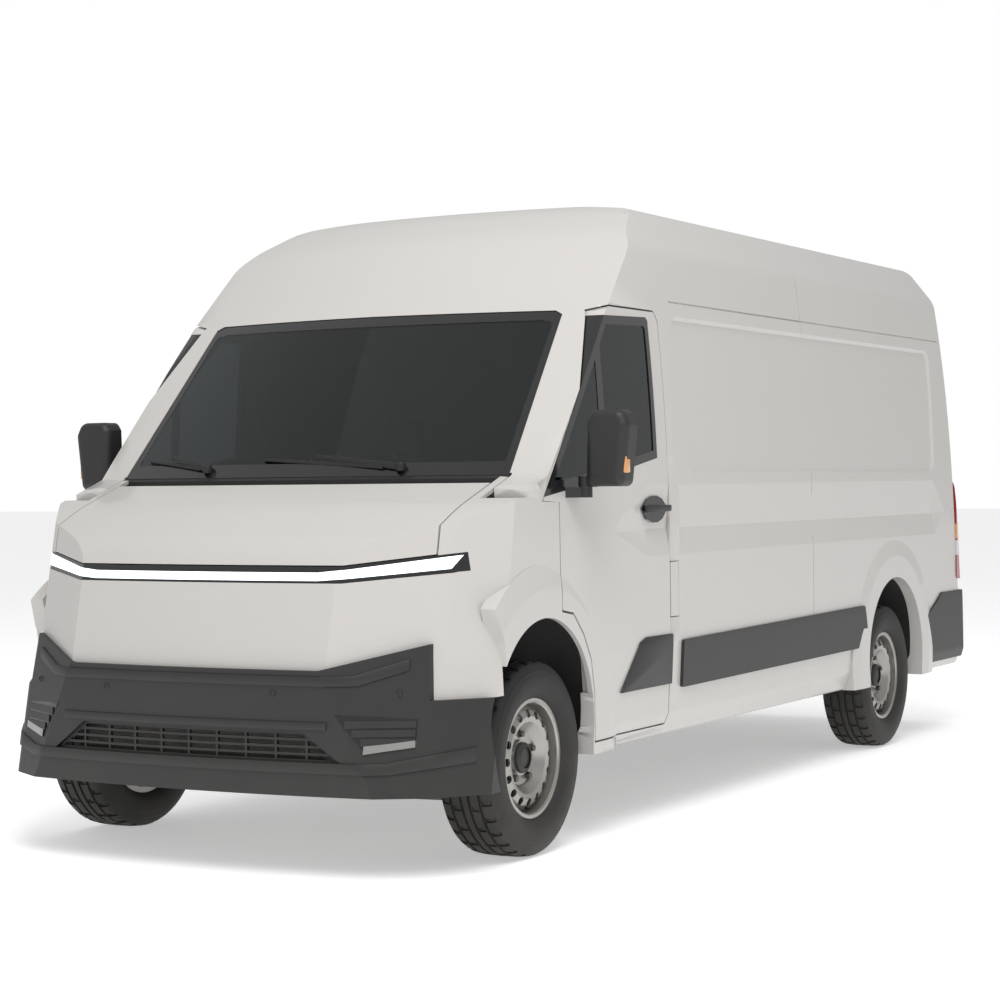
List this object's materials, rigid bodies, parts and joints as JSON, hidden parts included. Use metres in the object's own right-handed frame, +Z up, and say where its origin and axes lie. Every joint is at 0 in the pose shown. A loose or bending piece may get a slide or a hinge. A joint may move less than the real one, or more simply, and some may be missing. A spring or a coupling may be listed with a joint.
{
  "type": "cargo van",
  "caption": "Long-wheelbase high-roof panel van with hinged front and rear doors, bonnet, folding mirrors, steering and rolling wheels.",
  "frame": {"origin": "on the ground, at the middle of the bounding box's bottom face", "axes": "+X to the driver's left side, -Y to the front, +Z up"},
  "size_m": [2.5298, 5.7295, 2.5199],
  "materials": {
    "body_paint": "gloss",
    "dark_plastic": "grained matte",
    "black_gloss": "gloss",
    "tinted_glass": "clear",
    "red_lens": "gloss",
    "chassis_steel": "satin",
    "engine_iron": "rough",
    "cabin_plastic": "matte",
    "seat_fabric": "woven",
    "tyre_rubber": "matte",
    "wheel_steel": "satin"
  },
  "bodies": {
    "van_body": {"arch_liners": "dark_plastic", "bulkhead": "chassis_steel", "cab_shell": "body_paint", "cargo_side_left": "body_paint", "cargo_side_right": "body_paint", "chassis_frame": "chassis_steel", "cowl": "dark_plastic", "dashboard": "cabin_plastic", "driver_seat": "seat_fabric", "engine_block": "engine_iron", "exhaust": "chassis_steel", "floor_pan": "chassis_steel", "front_bumper": "dark_plastic", "front_panel": "body_paint", "front_rails": "chassis_steel", "front_subframe": "chassis_steel", "front_wings": "body_paint", "fuel_tank": "chassis_steel", "light_bar": "black_gloss", "lower_grille": "dark_plastic", "passenger_seat": "seat_fabric", "rear_axle": "chassis_steel", "rear_bumper": "dark_plastic", "rear_frame": "body_paint", "roof_panel": "body_paint", "seat_bases": "chassis_steel", "side_cladding": "dark_plastic", "sliding_door": "body_paint", "tail_lamps": "red_lens", "windscreen": "tinted_glass"},
    "bonnet": {"bonnet": "body_paint"},
    "fuel_flap": {"fuel_flap": "body_paint"},
    "steering_wheel": {"steering_wheel": "cabin_plastic"},
    "door_left": {"door_left": "body_paint", "door_trim_left": "black_gloss", "door_glass_left": "tinted_glass", "mirror_arm_left": "dark_plastic"},
    "door_right": {"door_right": "body_paint", "door_trim_right": "black_gloss", "door_glass_right": "tinted_glass", "mirror_arm_right": "dark_plastic"},
    "mirror_left": {"mirror_left": "dark_plastic"},
    "mirror_right": {"mirror_right": "dark_plastic"},
    "rear_door_left": {"rear_door_left": "body_paint"},
    "rear_door_right": {"rear_door_right": "body_paint"},
    "knuckle_left": {"knuckle_left": "chassis_steel"},
    "knuckle_right": {"knuckle_right": "chassis_steel"},
    "wheel_front_left": {"rim_front_left": "wheel_steel", "tyre_front_left": "tyre_rubber"},
    "wheel_front_right": {"rim_front_right": "wheel_steel", "tyre_front_right": "tyre_rubber"},
    "wheel_rear_left": {"rim_rear_left": "wheel_steel", "tyre_rear_left": "tyre_rubber"},
    "wheel_rear_right": {"rim_rear_right": "wheel_steel", "tyre_rear_right": "tyre_rubber"}
  },
  "joints": [
    {"name": "bonnet_lift", "type": "hinge", "parent": "van_body", "child": "bonnet", "pos_m": [0, -2.16, 1.325], "axis": [-1, 0, 0], "range_deg": [0, 50]},
    {"name": "fuel_flap_open", "type": "hinge", "parent": "van_body", "child": "fuel_flap", "pos_m": [1.01, -0.947, 0.915], "axis": [0, 0, 1], "range_deg": [0, 110]},
    {"name": "door_left_open", "type": "hinge", "parent": "van_body", "child": "door_left", "pos_m": [1.002, -1.91, 1], "axis": [0, 0, -1], "range_deg": [0, 70]},
    {"name": "door_right_open", "type": "hinge", "parent": "van_body", "child": "door_right", "pos_m": [-1.002, -1.91, 1], "axis": [0, 0, 1], "range_deg": [0, 70]},
    {"name": "mirror_left_fold", "type": "hinge", "parent": "door_left", "child": "mirror_left", "pos_m": [1.072, -1.86, 1.33], "axis": [0, 0, 1], "range_deg": [0, 60]},
    {"name": "mirror_right_fold", "type": "hinge", "parent": "door_right", "child": "mirror_right", "pos_m": [-1.072, -1.86, 1.33], "axis": [0, 0, -1], "range_deg": [0, 60]},
    {"name": "rear_door_left_open", "type": "hinge", "parent": "van_body", "child": "rear_door_left", "pos_m": [0.89, 2.80548, 0.76286], "axis": [0, 0.1299, -0.9915], "range_deg": [0, 180]},
    {"name": "rear_door_right_open", "type": "hinge", "parent": "van_body", "child": "rear_door_right", "pos_m": [-0.89, 2.80548, 0.76286], "axis": [0, -0.1299, 0.9915], "range_deg": [0, 180]},
    {"name": "steering_wheel_turn", "type": "hinge", "parent": "van_body", "child": "steering_wheel", "pos_m": [0.47, -1.585, 1.165], "axis": [0, 0.769, 0.6392], "range_deg": [-530, 530]},
    {"name": "steer_left", "type": "hinge", "parent": "van_body", "child": "knuckle_left", "pos_m": [0.825, -2.085, 0.215], "axis": [-0.1961, 0, 0.9806], "range_deg": [-35, 35]},
    {"name": "steer_right", "type": "hinge", "parent": "van_body", "child": "knuckle_right", "pos_m": [-0.825, -2.085, 0.215], "axis": [0.1961, 0, 0.9806], "range_deg": [-35, 35]},
    {"name": "wheel_front_left_spin", "type": "hinge", "parent": "knuckle_left", "child": "wheel_front_left", "pos_m": [0.87, -2.085, 0.356], "axis": [1, 0, 0], "continuous": true},
    {"name": "wheel_front_right_spin", "type": "hinge", "parent": "knuckle_right", "child": "wheel_front_right", "pos_m": [-0.87, -2.085, 0.356], "axis": [1, 0, 0], "continuous": true},
    {"name": "wheel_rear_left_spin", "type": "hinge", "parent": "van_body", "child": "wheel_rear_left", "pos_m": [0.87, 1.665, 0.356], "axis": [1, 0, 0], "continuous": true},
    {"name": "wheel_rear_right_spin", "type": "hinge", "parent": "van_body", "child": "wheel_rear_right", "pos_m": [-0.87, 1.665, 0.356], "axis": [1, 0, 0], "continuous": true}
  ],
  "couplings": [
    {"joint": "steering_wheel_turn", "follows": "steer_left", "ratio": 15},
    {"joint": "steer_right", "follows": "steer_left", "ratio": 1}
  ]
}
